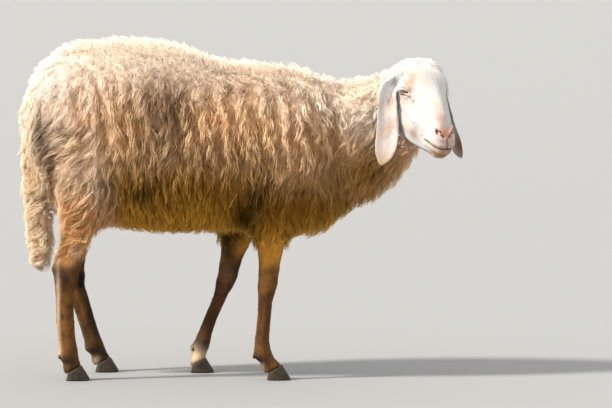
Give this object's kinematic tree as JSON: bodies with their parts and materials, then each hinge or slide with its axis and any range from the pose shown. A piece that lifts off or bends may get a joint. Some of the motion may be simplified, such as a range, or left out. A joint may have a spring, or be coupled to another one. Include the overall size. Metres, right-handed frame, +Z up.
{
  "type": "sheep",
  "caption": "Life-size standing ewe in full fleece, with hanging ears, head turned to her right and a long woolly tail; a still display animal that stands on its own hooves.",
  "frame": {"origin": "centre of the bounding box in plan, at the level of the soles", "axes": "+X towards the chest, +Y the ewe's left side, +Z up"},
  "size_m": [1.1132, 0.427, 0.8502],
  "materials": {
    "fleece": "long crimped wool in locks, cream on the back, tan and brown lower down",
    "face_hair": "short white hair with pink skin showing at the nose, lips and ears",
    "leg_hair": "short close brown hair",
    "hoof_horn": "worn dull horn",
    "eye": "wet amber iris with a level slit pupil"
  },
  "bodies": {
    "root": {"ear_left": "face_hair", "ear_right": "face_hair", "eye_left": "eye", "eye_right": "eye", "fore_leg_left_cannon": "leg_hair", "fore_leg_left_claw_inner": "hoof_horn", "fore_leg_left_claw_outer": "hoof_horn", "fore_leg_left_dewclaw_inner": "hoof_horn", "fore_leg_left_dewclaw_outer": "hoof_horn", "fore_leg_left_forearm": "leg_hair", "fore_leg_left_pastern": "leg_hair", "fore_leg_right_cannon": "leg_hair", "fore_leg_right_claw_inner": "hoof_horn", "fore_leg_right_claw_outer": "hoof_horn", "fore_leg_right_dewclaw_inner": "hoof_horn", "fore_leg_right_dewclaw_outer": "hoof_horn", "fore_leg_right_forearm": "leg_hair", "fore_leg_right_pastern": "leg_hair", "head": "face_hair", "hind_leg_left_cannon": "leg_hair", "hind_leg_left_claw_inner": "hoof_horn", "hind_leg_left_claw_outer": "hoof_horn", "hind_leg_left_dewclaw_inner": "hoof_horn", "hind_leg_left_dewclaw_outer": "hoof_horn", "hind_leg_left_pastern": "leg_hair", "hind_leg_left_thigh": "leg_hair", "hind_leg_right_cannon": "leg_hair", "hind_leg_right_claw_inner": "hoof_horn", "hind_leg_right_claw_outer": "hoof_horn", "hind_leg_right_dewclaw_inner": "hoof_horn", "hind_leg_right_dewclaw_outer": "hoof_horn", "hind_leg_right_pastern": "leg_hair", "hind_leg_right_thigh": "leg_hair", "neck": "fleece", "tail": "fleece", "trunk": "fleece"}
  },
  "joints": []
}
